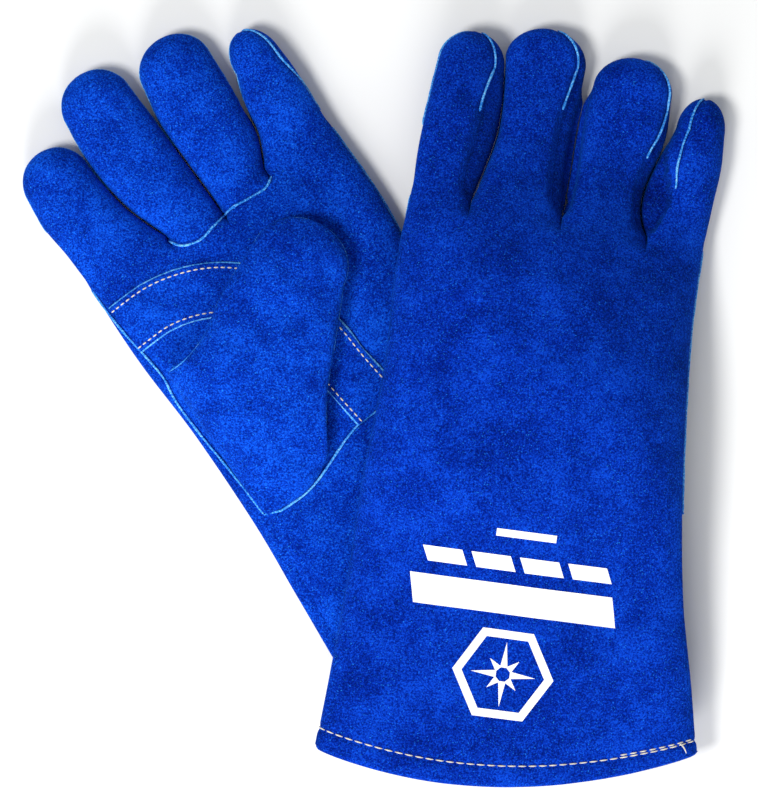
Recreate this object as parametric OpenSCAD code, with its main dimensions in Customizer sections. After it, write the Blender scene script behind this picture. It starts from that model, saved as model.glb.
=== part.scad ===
// Pair of heavy leather welder's gauntlets, laid out as a pair: the left glove palm up,
// the right glove back up across the left one's cuff. Millimetres, Z up, and the
// surface that the pair lies on is z = 0.
//
// Each glove is drawn in its own flat frame. x runs from the index side (-) to the
// little side (+), y runs from the cuff (-) to the fingertips (+), and y = 0 is the
// knuckle line, where the fingers bend. Round a section, the angle 0 is the little
// side, 90 is the top, 180 is the index side and 270 is the underside.
//
// A glove is cut the gunn way: one back panel from fingertips to hem, a palm panel,
// a cuff front, separate finger fronts, a wing thumb and a strap sewn over the palm.
// Panels that a knuckle bends are split at the knuckle line, one solid on each side.

/* [Leather and lining] */
// Thickness of the split-leather panels
leather_t = 1.4; // [1.2:0.1:1.6]
// Thickness of the fleece and canvas linings
lining_t = 1.3; // [1:0.1:1.5]
// Width of the welt strip that is sewn into a seam
welt_w = 1.2; // [0.8:0.1:1.4]
// Height of a welt above the leather
welt_out = 0.9; // [0.4:0.1:1.2]
// Thickness of the stitching thread
thread_t = 0.6; // [0.4:0.1:0.8]

/* [Hand and cuff] */
// Thickness of the hand over the palm
hand_t = 19; // [17:0.5:22]
// Thickness of the glove at the wrist
wrist_t = 16.5; // [16:0.5:20]
// Thickness of the cuff at its mouth
mouth_t = 18; // [16.5:0.5:22]
// Thickness of a finger
finger_t = 17.5; // [16:0.5:19]
// Share of a section's thickness that is above its widest line
top_share = 0.6; // [0.5:0.05:0.7]
// Depth of the leather turned in at the hem
hem_depth = 8; // [6:0.5:12]

/* [Thumb] */
// Thickness of the left thumb, which lies on the palm
left_thumb_t = 13; // [10:0.5:15]
// Thickness of the right thumb, which the hand presses flat
right_thumb_t = 9; // [8.5:0.5:10]

/* [Palm strap] */
// Width of the strap across the palm
strap_w = 24.5; // [20:0.5:26]
// Thickness of the strap
strap_t = 1.2; // [1:0.1:1.4]

/* [Pair] */
// Height of the right glove where it lies on the left one
pile_h = 20.8; // [20:0.5:24]

/* [Hidden] */
LEFT = 0;
RIGHT = 1;
SIDES = ["left", "right"];
FINGERS = ["index", "middle", "ring", "little"];
THUMB = 4;
STALLS = concat(FINGERS, ["thumb"]);
HAND_NODES = ["back_panel", "palm_panel", "cuff_front", "thumb_base", "palm_strap",
              "cuff_hem", "hand_welts", "hand_lining", "cuff_lining", "stitching"];
STALL_NODES = ["back", "front", "welt", "lining"];

suede = [0.03, 0.2, 0.72];
welt_blue = [0.45, 0.68, 0.9];
cream = [0.9, 0.87, 0.76];
canvas = [0.82, 0.79, 0.7];

// where each glove's frame lies: knuckle centre x and y, and its turn
PLACE = [[-71.3, 86.8, 34], [80.6, 79.6, -10.5]];

// outline of the hand and cuff, [y, x] from hem to knuckles
INDEX_EDGE = [
    [[-236, -69], [-205, -67.5], [-165, -65], [-120, -62.6], [-80, -62.5], [-38, -64.8], [0, -64.5]],
    [[-230, -62.5], [-203, -62.1], [-158, -62.4], [-120, -63.7], [-80, -63.2], [-20, -66.3], [0, -65.5]]];
LITTLE_EDGE = [
    [[-236, 79.5], [-205, 75], [-165, 69.5], [-120, 63.5], [-80, 61], [-35, 64], [0, 63.2]],
    [[-230, 102], [-196, 94], [-157, 83.8], [-120, 75.8], [-80, 70.3], [-35, 65.9], [0, 65.2]]];
// hem line: its y, its rise at the little side and its sag in the middle
HEM = [[-236, -3, 10], [-230, 13, 14.5]];

// lines that part the fingers, [y, x], from the index edge to the little edge
FINGER_LINES = [
    [[[0, -64.5], [17, -65.1], [34, -66.8], [60, -66]],
     [[0, -29.8], [17, -30.6], [36, -34.1], [60, -34.3], [80, -33.5]],
     [[0, 2.2], [20, 1.6], [50, 0.6], [75, 2]],
     [[0, 33], [12, 33.6], [25, 35.7], [43, 37.4], [75, 38.5]],
     [[0, 63.2], [33, 63.9], [56, 62.5]]],
    [[[0, -65.5], [20, -66.2], [45, -65.2], [75, -63.5]],
     [[0, -31.4], [15, -31], [30, -30.3], [50, -31.5], [80, -33.5]],
     [[0, 4.6], [15, 5], [35, 5], [60, 4.4], [85, 3]],
     [[0, 38.4], [15, 37.9], [35, 38.9], [50, 40.4], [80, 40.5]],
     [[0, 65.2], [20, 66], [37, 66.6], [65, 66]]]];
FINGER_LEN = [[61.5, 80, 73.5, 56.5], [75.5, 82.7, 77, 65]];

// the thumb's own frame: middle of its fold line and the turn of its long axis, then
// its two side lines, [distance past the fold line, x], the wing being at negative y
THUMB_PLACE = [-37.6, -85, -60.6];
THUMB_LINES = [
    [[-36, 25.7], [0, -39.5], [17, -32.5], [41, -33.3], [68, -30.5], [88, -29]],
    [[-36, 26.7], [-18, 36], [0, 39.5], [13, 32], [25, 26.6], [42, 21.2], [62, 14.2], [88, 8]]];
THUMB_LEN = 88;
WING_LEN = 36;

// middle line of the palm strap, from the index side to the wrist seam
STRAP_LINE = [[-57, -24.5], [-46, -24], [-31, -27], [-18, -33], [-5, -45], [3, -60], [7, -77],
              [8.5, -93], [10, -106]];

// seam angles of each glove: index side and little side
INDEX_SEAM = [154, 206];
LITTLE_SEAM = [-6, -6];
wrist_y = -120;
seam_gap = welt_w / 2 + 0.3;   // half the slot that a welt lies in
stall_welt_out = 0.3;          // height of the welts between fingers, which press together
layer_gap = 0.25;              // air between leather and lining
hand_end = -3.2;               // where the hand's solids stop short of the knuckle line
finger_start = 0.8;            // where the fingers' solids begin past it
finger_gap = 1.2;              // air between two fingers
side_steps = 10;               // facets across one panel of the hand
stall_steps = 6;               // facets across one panel of a finger
lining_off = leather_t + layer_gap;
hem_off = lining_off + lining_t + layer_gap;
rim_depth = 1.5;               // depth of the hem's folded rim
strap_lift = 1;                // air between palm and strap, which lies over the curve
thumb_lift = 3;                // air between palm and thumb, with the strap between them
gunn_lift = 0.9;               // air between the palm's curve and the straight gunn welt
thread_lift = 0.35;            // air between the hem and a stitch, which lies over the facets
stitch_lift = 0.16;            // air between the strap and a stitch
tip_round = 15;                // length of a finger's round tip
thumb_round = 19;              // length of the thumb's round tip
rest_share = 1.06;             // above 1, flattens the left glove's underside where it rests

function smooth(t) = let (k = min(1, max(0, t))) k * k * (3 - 2 * k);
function mix(a, b, t) = a + (b - a) * t;
function spow(c, e) = sign(c) * pow(abs(c), e);
function steps(a, b, n) = [for (i = [0 : n]) mix(a, b, i / n)];
function palm_up(g) = g == LEFT;

// ---------------------------------------------------------------- heights

// the right glove lies on the left one and slopes down to the floor past its edges:
// distances past the left glove's little side and past its hem, in the right frame
side_at = [-62, -16.5];
side_dir = [0.636, 0.771];
hem_at = [-33, -239];
hem_dir = [0.672, -0.74];
side_slope = 100;              // length of the slope past the little side
hem_slope = 110;               // length of the slope past the hem
hem_share = 0.75;              // share of the pile's height lost past the hem
function past_side(x, y) = ([x, y] - side_at) * side_dir;
function past_hem(x, y) = ([x, y] - hem_at) * hem_dir;
function pile(x, y) = pile_h * (1 - smooth(past_side(x, y) / side_slope))
                             * (1 - hem_share * smooth(past_hem(x, y) / hem_slope));
// the right thumb lifts the hand above it, in full near its middle and less further out
thumb_mid = [-5, -72];
thumb_near = 40;
thumb_fade = 70;
function thumb_rise(x, y) = (right_thumb_t + thumb_lift + 0.6)
    * (1 - smooth((norm([x, y] - thumb_mid) - thumb_near) / thumb_fade));
// height of the surface under a glove's hand and fingers; the left hem curls up a little
hem_curl = 1.2;
hem_curl_y = -205;
hem_curl_len = 20;
function bed(g, x, y) = g == LEFT ? hem_curl * smooth((hem_curl_y - y) / hem_curl_len)
                                  : pile(x, y) + thumb_rise(x, y);

THICKNESS = [[-236, mouth_t], [-190, wrist_t], [-120, wrist_t], [-60, hand_t], [0, finger_t + 0.5]];
function thick(y) = lookup(y, THICKNESS);

// ---------------------------------------------------------------- surfaces
// each takes a row, an angle round the section and an inward offset

function edge(table, y) = lookup(y, table);
function half_w(g, y) = (edge(LITTLE_EDGE[g], y) - edge(INDEX_EDGE[g], y)) / 2;
function mid_x(g, y) = (edge(LITTLE_EDGE[g], y) + edge(INDEX_EDGE[g], y)) / 2;
function cuff_share(g, y) = pow(max(0, (wrist_y - y) / (wrist_y - HEM[g][0])), 1.5);
// the wrist seam is lower at the index side, and the rows near it follow
wrist_low = 7;                 // how far it lies below wrist_y at the index side
wrist_high = 8;                // and above it past the middle
wrist_reach = 45;
function wrist_bow(x, y) = mix(-wrist_low, wrist_high, smooth((x + 40) / 60))
                           * (1 - smooth(abs(y - wrist_y) / wrist_reach));

function hand_pt(g, y, th, off) =
    let (u = spow(cos(th), 0.77),
         x = mid_x(g, y) + (half_w(g, y) - off) * u,
         row = y + cuff_share(g, y) * (HEM[g][1] * u - HEM[g][2] * (1 - u * u)) + wrist_bow(x, y),
         low = (1 - top_share) * thick(y),
         b = (sin(th) > 0 ? top_share * thick(y) : low) - off)
    [x, row, bed(g, x, row) + low + b * (g == LEFT ? max(-1, rest_share * sin(th)) : sin(th))];

// height of the palm's outer face over a point of the glove's frame
function crown(g, x, y) = sqrt(1 - pow(min(0.9, abs((x - mid_x(g, y)) / half_w(g, y))), 2.6));
function palm_z(g, x, y) =
    let (low = (1 - top_share) * thick(y))
    palm_up(g) ? bed(g, x, y) + low + top_share * thick(y) * crown(g, x, y)
               : bed(g, x, y) + low * (1 - crown(g, x, y));
function on_palm(g, x, y, q) = [x, y, palm_z(g, x, y) + (palm_up(g) ? q : -q)];

// rows 0 to 1 are the straight stretch of a finger, 1 to 2 its round tip
function cap(r) = r <= 1 ? 1 : cos((r - 1) * 90);
function finger_pt(g, f, r, th, off) =
    let (len = FINGER_LEN[g][f],
         tip = len - tip_round,
         s = r <= 1 ? mix(finger_start, tip, r) : tip + (tip_round - off) * sin((r - 1) * 90),
         y = min(s, tip),
         a = edge(FINGER_LINES[g][f], y) + (f == 0 ? 0 : finger_gap / 2),
         b = edge(FINGER_LINES[g][f + 1], y) - (f == 3 ? 0 : finger_gap / 2),
         e = mix(0.45, 0.9, smooth(r / 0.6)),
         x = (a + b) / 2 + ((b - a) / 2 - off) * cap(r) * spow(cos(th), e),
         low = (1 - top_share) * finger_t,
         h = (sin(th) > 0 ? top_share * finger_t : low) - off)
    [x, s, bed(g, x, y) + low + h * pow(cap(r), 0.8) * spow(sin(th), e)];

// the thumb is a finger that lies on the palm, row -1 to 0 being the wing at its foot;
// its angle 90 is the side away from the palm
function thumb_t(g) = g == LEFT ? left_thumb_t : right_thumb_t;
function from_thumb(p) = let (a = THUMB_PLACE[2])
    [THUMB_PLACE.x + p.x * cos(a) - p.y * sin(a), THUMB_PLACE.y + p.x * sin(a) + p.y * cos(a)];
function thumb_pt(g, r, th, off) =
    let (tip = THUMB_LEN - thumb_round,
         past = (thumb_round - off) * sin((r - 1) * 90),
         s = r < 0 ? r * WING_LEN : r <= 1 ? mix(finger_start, tip, r) : tip + past,
         n = min(s, tip),
         a = edge(THUMB_LINES[0], n),
         b = edge(THUMB_LINES[1], n),
         p = from_thumb([(a + b) / 2 + ((b - a) / 2 - off) * cap(r) * spow(cos(th), 0.85), s]),
         t = thumb_t(g) * mix(0.78, 1, smooth(n / 30)) / 2,
         q = thumb_lift + t + (t - off) * pow(cap(r), 0.8) * sin(th))
    on_palm(g, p.x, p.y, q);
// the wing runs down from the thumb's foot to the seams, where it meets the palm
function wing_pt(g, r, th, off) =
    let (n = r * WING_LEN,
         a = edge(THUMB_LINES[0], n),
         b = edge(THUMB_LINES[1], n),
         p = from_thumb([(a + b) / 2 + ((b - a) / 2 - off * 0.6) * cos(th), n]),
         rise = (thumb_lift + 0.78 * thumb_t(g) - leather_t - 0.6) * (1 + r),
         q = 0.5 + leather_t - off + rise * spow(sin(th), 0.9))
    on_palm(g, p.x, p.y, q);

// ---------------------------------------------------------------- solids

// triangles of the quad between points j and k of one row and of the next; the cut
// runs the other way where falling is true, so that both faces of a panel are cut alike
function quad(row, next, j, k, falling) =
    falling ? [[row + j, next + k, next + j], [row + j, row + k, next + k]]
            : [[row + j, row + k, next + j], [row + k, next + k, next + j]];
function turned(faces, flip) = flip ? [for (t = faces) [t[0], t[2], t[1]]] : faces;

// a solid swept through loops of points, each out along one face and back along the
// other, with its first and last loop filled as a band of quads
module strip(loops, flip = false) {
    rows = len(loops);
    cols = len(loops[0]);
    last = (rows - 1) * cols;
    side = [for (i = [0 : rows - 2], j = [0 : cols - 1])
        each quad(i * cols, (i + 1) * cols, j, (j + 1) % cols, j < cols / 2)];
    ends = [for (j = [0 : cols / 2 - 2])
        let (a = j, b = j + 1, c = cols - 2 - j, d = cols - 1 - j)
        each [[a, d, c], [a, c, b],
              [last + a, last + c, last + d], [last + a, last + b, last + c]]];
    polyhedron([for (l = loops) each l], turned(concat(side, ends), flip));
}

// a panel of leather over rows, with its angles given for each row
module panel(face, rows, angles, off_out, off_in, flip = false) {
    strip([for (r = rows)
        let (row = angles(r), n = len(row))
        [each [for (a = row) face(r, a, off_out)],
         each [for (i = [n - 1 : -1 : 0]) face(r, row[i], off_in)]]], flip);
}

// a lining: a tube or, if its tip is closed, a cup
module lining_tube(face, rows, angles, off_out, off_in, closed_tip = false, flip = false) {
    n = len(angles(rows[0]));
    m = len(rows);
    points = [each [for (r = rows, a = angles(r)) face(r, a, off_out)],
              each [for (i = [m - 1 : -1 : 0], a = angles(rows[i])) face(rows[i], a, off_in)]];
    skipped = closed_tip ? m - 1 : -1;
    side = [for (i = [0 : 2 * m - 1], j = [0 : n - 1])
        if (i != skipped) each quad(i * n, ((i + 1) % (2 * m)) * n, j, (j + 1) % n, i < m)];
    tips = closed_tip ? [for (j = [1 : n - 2])
        each [[(m - 1) * n, (m - 1) * n + j, (m - 1) * n + j + 1],
              [m * n, m * n + j + 1, m * n + j]]] : [];
    polyhedron(points, turned(concat(side, tips), flip));
}

// a ring swept round a closed path of closed profiles
module ring(profiles) {
    rows = len(profiles);
    cols = len(profiles[0]);
    polyhedron([for (p = profiles) each p], [for (i = [0 : rows - 1], j = [0 : cols - 1])
        each turned(quad(i * cols, ((i + 1) % rows) * cols, j, (j + 1) % cols, true), true)]);
}

// a welt: a square strip along a seam, standing out of it
module welt(face, path, outs, flip = false) {
    strip([for (i = [0 : len(path) - 1])
        let (r = path[i][0],
             th = path[i][1],
             p = face(r, th, 0),
             t = face(r, th + 1, 0) - face(r, th - 1, 0),
             w = t / norm(t) * welt_w / 2,
             deep = face(r, th, leather_t) - p,
             n = deep / norm(deep),
             inner = n * leather_t * 0.8)
        [p - w - n * outs[i], p + w - n * outs[i], p + w + inner, p - w + inner]], flip);
}

// angle to step back from a seam, so that a panel stops clear of its welt
function seam_step(face, r, th, dir) =
    min(14, seam_gap * 4 / norm(face(r, th + 4 * dir, 0) - face(r, th, 0)));
function between(face, r, a, b, n) =
    steps(a + seam_step(face, r, a, 1), b - seam_step(face, r, b, -1), n);

module lay(g) translate([PLACE[g].x, PLACE[g].y, 0]) rotate(PLACE[g][2]) children();

// ---------------------------------------------------------------- hand and cuff

// angles across the two panels, from seam to seam: the top one, then the bottom one
function hand_of(g) = function (y, th, off) hand_pt(g, y, th, off);
function top_angles(g) = function (r)
    between(hand_of(g), r, LITTLE_SEAM[g], INDEX_SEAM[g], side_steps);
function low_angles(g) = function (r)
    between(hand_of(g), r, INDEX_SEAM[g], LITTLE_SEAM[g] + 360, side_steps);
function palm_angles(g) = palm_up(g) ? top_angles(g) : low_angles(g);
function back_angles(g) = palm_up(g) ? low_angles(g) : top_angles(g);
function ring_angles(g) = function (r)
    let (top = top_angles(g), low = low_angles(g)) concat(top(r), low(r));
function hand_rows() = [-102, -88, -74, -60, -46, -32, -18, hand_end];
function cuff_rows(g) = [HEM[g][0] + rim_depth + 0.2, -212, -190, -165, -142];

module back_panel(g) color(suede) lay(g)
    panel(hand_of(g), concat(cuff_rows(g), [wrist_y], hand_rows()), back_angles(g), 0, leather_t);

module palm_panel(g) color(suede) lay(g) difference() {
    panel(hand_of(g), concat([wrist_y + seam_gap], hand_rows()), palm_angles(g), 0, leather_t);
    thumb_hole(g);
}

// the opening into the thumb, under the wing
module thumb_hole(g) {
    corners = [for (p = [[-31, 3], [31, 3], [27, -24], [22, -24]]) from_thumb(p)];
    z0 = palm_up(g) ? thick(-90) * 0.55 : bed(g, -40, -90) - 12;
    translate([0, 0, z0]) linear_extrude(palm_up(g) ? 20 : 12 + thick(-90) * 0.3) polygon(corners);
}

module cuff_front(g) color(suede) lay(g)
    panel(hand_of(g), concat(cuff_rows(g), [wrist_y - seam_gap]), palm_angles(g), 0, leather_t);

module thumb_base(g) color(suede) lay(g)
    panel(function (r, th, off) wing_pt(g, r, th, off), [-0.9, -0.6, -0.3, -0.03],
          function (r) steps(4, 176, 8), 0, leather_t, flip = !palm_up(g));

module hand_lining(g) color(cream) lay(g) difference() {
    lining_tube(hand_of(g), concat([wrist_y + 1], hand_rows()), ring_angles(g),
                lining_off, lining_off + lining_t);
    thumb_hole(g);
}

module cuff_lining(g) color(canvas) lay(g)
    lining_tube(hand_of(g), concat(cuff_rows(g), [wrist_y - 1]), ring_angles(g),
                lining_off, lining_off + lining_t);

// the turned hem: a folded rim round the mouth and the leg that lies inside the lining
module cuff_hem(g) color(suede) lay(g) {
    y0 = HEM[g][0];
    profile = [[0, 0], [rim_depth, 0], [rim_depth, hem_off], [hem_depth, hem_off],
               [hem_depth, hem_off + leather_t], [0, hem_off + leather_t]];
    angles = ring_angles(g);
    ring([for (a = angles(y0)) [for (p = profile) hand_pt(g, y0 + p[0], a, p[1])]]);
}

// the index and little side seams, the wrist seam and the gunn seam; below the wrist
// the side seams are plain, so their strip lies flush
module hand_welts(g) color(welt_blue) lay(g) {
    rows = concat(cuff_rows(g), [wrist_y], hand_rows());
    outs = [for (r = rows) welt_out * smooth((r - wrist_y + 12) / 10)];
    for (th = [INDEX_SEAM[g], LITTLE_SEAM[g]])
        welt(hand_of(g), [for (r = rows) [r, th]], outs);
    wrist_welt(g);
    gunn_welt(g);
}

module wrist_welt(g) {
    angles = palm_angles(g);
    strip([for (th = angles(wrist_y)) [for (c = [[-1, 0], [1, 0], [1, 1], [-1, 1]])
        hand_pt(g, wrist_y + c[0] * welt_w / 2, th, mix(-welt_out, leather_t, c[1]))]], flip = true);
}

// across the feet of the middle and ring fingers
module gunn_welt(g) {
    x0 = FINGER_LINES[g][1][0][1];
    x1 = FINGER_LINES[g][3][0][1];
    strip([for (x = steps(x0, x1, 8))
        let (y = -5 - 4 * sin(180 * (x - x0) / (x1 - x0)))
        [for (c = [[-1, 0], [1, 0], [1, 1], [-1, 1]])
            on_palm(g, x, y + c[0] * welt_w / 2, gunn_lift + c[1] * welt_out)]], flip = palm_up(g));
}

// the strap follows its middle line over the palm
function strap_turn(i) =
    let (d = STRAP_LINE[min(i + 1, len(STRAP_LINE) - 1)] - STRAP_LINE[max(i - 1, 0)])
    [-d.y, d.x] / norm(d);
function strap_xy(i, w) = STRAP_LINE[i] + strap_turn(i) * w;

module palm_strap(g) color(suede) lay(g) {
    across = steps(-strap_w / 2, strap_w / 2, 4);
    strip([for (i = [0 : len(STRAP_LINE) - 1])
        let (p = [for (w = across) strap_xy(i, w)])
        [each [for (q = p) on_palm(g, q.x, q.y, strap_lift)],
         each [for (k = [4 : -1 : 0]) on_palm(g, p[k].x, p[k].y, strap_lift + strap_t)]]],
        flip = palm_up(g));
}

// one stitch between two points of a seam row
module stitch(a, b) {
    d = b - a;
    translate(a) rotate([0, -asin(d.z / norm(d)), atan2(d.y, d.x)])
        translate([norm(d) * 0.12, -thread_t / 2, 0]) cube([norm(d) * 0.76, thread_t, thread_t]);
}

module stitching(g) color(cream) lay(g) {
    hem_row(g, 6.4);
    strap_row(g, 2 - strap_w / 2);
    strap_row(g, strap_w / 2 - 2);
}

// the stitch row round the hem, on the outside of the leather
module hem_row(g, up) {
    y = HEM[g][0] + up;
    top = top_angles(g);
    low = low_angles(g);
    for (side = [top(y), low(y)], i = [2 : side_steps - 3], k = [0 : 3]) {
        z = sin(side[i]) > 0 ? thread_lift : -thread_lift - thread_t;
        p = hand_pt(g, y, side[i], 0) + [0, 0, z];
        q = hand_pt(g, y, side[i + 1], 0) + [0, 0, z];
        stitch(mix(p, q, k / 4), mix(p, q, (k + 1) / 4));
    }
}

module strap_row(g, w) {
    up = strap_lift + strap_t + stitch_lift;
    for (i = [0 : len(STRAP_LINE) - 2], k = [0 : 2]) {
        a = strap_xy(i, w);
        b = strap_xy(i + 1, w);
        p = on_palm(g, a.x, a.y, up);
        q = on_palm(g, b.x, b.y, up);
        drop = [0, 0, palm_up(g) ? 0 : -thread_t];
        stitch(mix(p, q, k / 3) + drop, mix(p, q, (k + 1) / 3) + drop);
    }
}

// ---------------------------------------------------------------- fingers and thumb

// seam angles of a stall: a finger's seams lie on its two sides, a little toward the
// back of the glove; the thumb's lie on the side that faces the palm
function stall_seams(g, f) = f == THUMB ? [-38, 218] : palm_up(g) ? [-12, 192] : [12, 168];
function stall_face(g, f) = f == THUMB ? function (r, th, off) thumb_pt(g, r, th, off)
                                      : function (r, th, off) finger_pt(g, f, r, th, off);
function stall_rows() = [0, 0.25, 0.5, 0.75, 1, 1.35, 1.65, 1.88];
function stall_welt_rows() = [0, 0.25, 0.5, 0.75, 1, 1.35, 1.6, 1.78];
function stall_top(g, f) = function (r)
    let (s = stall_seams(g, f)) between(stall_face(g, f), r, s[0], s[1], stall_steps + 1);
function stall_low(g, f) = function (r)
    let (s = stall_seams(g, f)) between(stall_face(g, f), r, s[1], s[0] + 360, stall_steps);
// the thumb's angles run the other way up on the right glove, whose palm faces down
function flipped(g, f) = f == THUMB && !palm_up(g);
// a finger's front is its top if the palm is up; a thumb's front faces away from the palm
function front_on_top(g, f) = f == THUMB || palm_up(g);

module stall_panel(g, f, on_top) color(suede) lay(g)
    panel(stall_face(g, f), stall_rows(), on_top ? stall_top(g, f) : stall_low(g, f),
          0, leather_t, flip = flipped(g, f));

module stall_welt(g, f) color(welt_blue) lay(g) {
    rows = stall_welt_rows();
    for (th = stall_seams(g, f))
        welt(stall_face(g, f), [for (r = rows) [r, th]], [for (r = rows) stall_welt_out],
             flip = flipped(g, f));
}

module stall_lining(g, f) color(cream) lay(g) {
    top = stall_top(g, f);
    low = stall_low(g, f);
    lining_tube(stall_face(g, f), stall_rows(), function (r) concat(top(r), low(r)), lining_off,
                lining_off + lining_t, closed_tip = true, flip = flipped(g, f));
}

module stall_piece(g, f, name) {
    if (name == "back") stall_panel(g, f, !front_on_top(g, f));
    if (name == "front") stall_panel(g, f, front_on_top(g, f));
    if (name == "welt") stall_welt(g, f);
    if (name == "lining") stall_lining(g, f);
}

module hand_piece(g, name) {
    if (name == "back_panel") back_panel(g);
    if (name == "palm_panel") palm_panel(g);
    if (name == "cuff_front") cuff_front(g);
    if (name == "thumb_base") thumb_base(g);
    if (name == "palm_strap") palm_strap(g);
    if (name == "cuff_hem") cuff_hem(g);
    if (name == "hand_welts") hand_welts(g);
    if (name == "hand_lining") hand_lining(g);
    if (name == "cuff_lining") cuff_lining(g);
    if (name == "stitching") stitching(g);
}

// ---------------------------------------------------------------- the pair

for (g = [LEFT, RIGHT], name = HAND_NODES)
    hand_piece(g, name);
for (g = [LEFT, RIGHT], f = [0 : THUMB], name = STALL_NODES)
    stall_piece(g, f, name);
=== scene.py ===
"""Looks of a pair of blue suede welding gauntlets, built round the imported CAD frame.

Each glove is shaped in its own flat frame: x from the index side to the little side, y from
the cuff to the fingertips, and y = 0 at the knuckles. Its hand and its four fingers share one
section formula, drawn in four strips, one in line with each finger. A place on a strip is
given by the row y and by the turn k round the section: 0 is the side toward the index finger,
1 the top, 2 the side toward the little finger and 3 the underside. Sizes are in metres.
"""
import math

import bpy
import numpy as np
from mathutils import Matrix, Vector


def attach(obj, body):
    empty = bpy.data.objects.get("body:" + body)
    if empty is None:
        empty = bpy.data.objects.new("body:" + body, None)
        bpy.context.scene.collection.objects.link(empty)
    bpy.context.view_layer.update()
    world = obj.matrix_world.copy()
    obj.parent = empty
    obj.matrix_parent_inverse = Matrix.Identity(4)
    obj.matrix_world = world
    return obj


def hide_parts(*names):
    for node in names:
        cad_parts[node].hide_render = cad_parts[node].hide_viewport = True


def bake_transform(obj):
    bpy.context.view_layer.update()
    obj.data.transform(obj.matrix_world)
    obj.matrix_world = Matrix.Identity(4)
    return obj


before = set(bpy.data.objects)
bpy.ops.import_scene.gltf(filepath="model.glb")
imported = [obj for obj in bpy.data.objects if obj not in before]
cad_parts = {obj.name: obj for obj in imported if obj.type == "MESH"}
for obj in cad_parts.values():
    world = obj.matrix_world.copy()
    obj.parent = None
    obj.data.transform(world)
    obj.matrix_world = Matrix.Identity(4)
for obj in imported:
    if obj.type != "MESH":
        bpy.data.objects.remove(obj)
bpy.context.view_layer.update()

MM = 0.001
LEFT, RIGHT = 0, 1
SIDES = ("left", "right")
FINGERS = ("index", "middle", "ring", "little")

# ---------------- driving sizes

# leather, linings, welts and thread
LEATHER_T = 1.4 * MM
LINING_OFF = 1.7 * MM  # depth of the lining's outer face below the leather's
LINING_T = 1.2 * MM
STALL_LINING_OFF = 3.0 * MM  # the same in the fingers, which are sunk beside their seams
WELT_R = 0.52 * MM
THREAD_R = 0.33 * MM
STITCH_RISE = 0.45 * MM
STITCH_SUNK = 0.3 * MM  # depth of a stitch's two ends under the skin
SEAM_DIP = 1.0 * MM  # how deep the skin rolls down into a seam, and from how far
SEAM_REACH = 1.5 * MM
GUNN_DIP = 0.9 * MM
# how far the welts stand out of their seams, in millimetres
SIDE_STAND = 0.5
WRIST_STAND = 0.75
GUNN_STAND = 0.35
SHOWN_STAND = 0.55
FINGER_STAND = 0.3
THUMB_STAND = 0.2
# the hand, lying flat
TOP_SHARE = 0.6  # part of the thickness above the side seams' height
WRIST_Y = -120 * MM
PILE_H = 20.8 * MM  # rise of the right glove where it lies on the left one
CROTCH_LEN = 8 * MM  # length over which the hand parts into fingers
# fingers and thumb
FINGER_T = 17.5 * MM
TIP_ROUND = 15 * MM
THUMB_ROUND = 19 * MM
TIP_ROW_END = 0.9985  # the last row stops just short of the tip's point
FINGER_GAP = 0.6 * MM
FLARE_MAX = 3.4 * MM  # most that a finger's lower half widens toward its neighbour
FLARE_CLEAR = -0.28 * MM
BEND_LEN = 24 * MM  # length given for a bend at a knuckle, and at the thumb; the pieces are not bent
THUMB_BEND_LEN = 28 * MM
# the cuff's turned hem
HEM_DEPTH = 8 * MM
HEM_T = LEATHER_T * 3 + 0.2 * MM  # the edge's thickness, with the lining's edge inside its fold
HEM_STITCH_UP = 6.4 * MM
HEM_AGAIN_UP = HEM_STITCH_UP + 1.1 * MM
# length and spacing of the stitches in the hem, in its second row and on the strap
HEM_STITCH = (3.5 * MM, 4.5 * MM)
AGAIN_STITCH = (3.1 * MM, 4.3 * MM)
STRAP_STITCH = (2.2 * MM, 3.0 * MM)
# the palm strap
STRAP_W = 24.5 * MM
STRAP_T = 1.2 * MM
STRAP_LIFT = 0.25 * MM
STRAP_STITCH_IN = 2.5 * MM

TURN_STEP = 1e-6  # smallest turn short of the section's next quarter
SHARP_ANGLE = math.radians(48)

# where each glove's frame lies: knuckle centre and turn
PLACE = (((-71.3 * MM, 86.8 * MM), math.radians(34)), ((80.6 * MM, 79.6 * MM), math.radians(-10.5)))


def mm(*points):
    """Points given in millimetres, as metres."""
    return np.array(points, float) * MM


# outline of the hand and cuff, y and x from hem to knuckles
INDEX_EDGE = (
    mm((-236, -69), (-205, -67.5), (-165, -65), (-120, -62.6), (-80, -62.5), (-38, -64.8), (0, -64.5)),
    mm((-230, -62.5), (-203, -62.1), (-158, -62.4), (-120, -63.7), (-80, -63.2), (-20, -66.3), (0, -65.5)))
LITTLE_EDGE = (
    mm((-236, 79.5), (-205, 75), (-165, 69.5), (-120, 63.5), (-80, 61), (-35, 64), (0, 63.2)),
    mm((-230, 102), (-196, 94), (-157, 83.8), (-120, 75.8), (-80, 70.3), (-35, 65.9), (0, 65.2)))
# hem: its y, its rise at the little side and its sag in the middle
HEM = (mm(-236, -3, 10), mm(-230, 13, 14.5))
THICKNESS = mm((-236, 17.5), (-190, 16.5), (-120, 16.5), (-60, 19), (0, 18), (20, 17.5))

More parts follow.
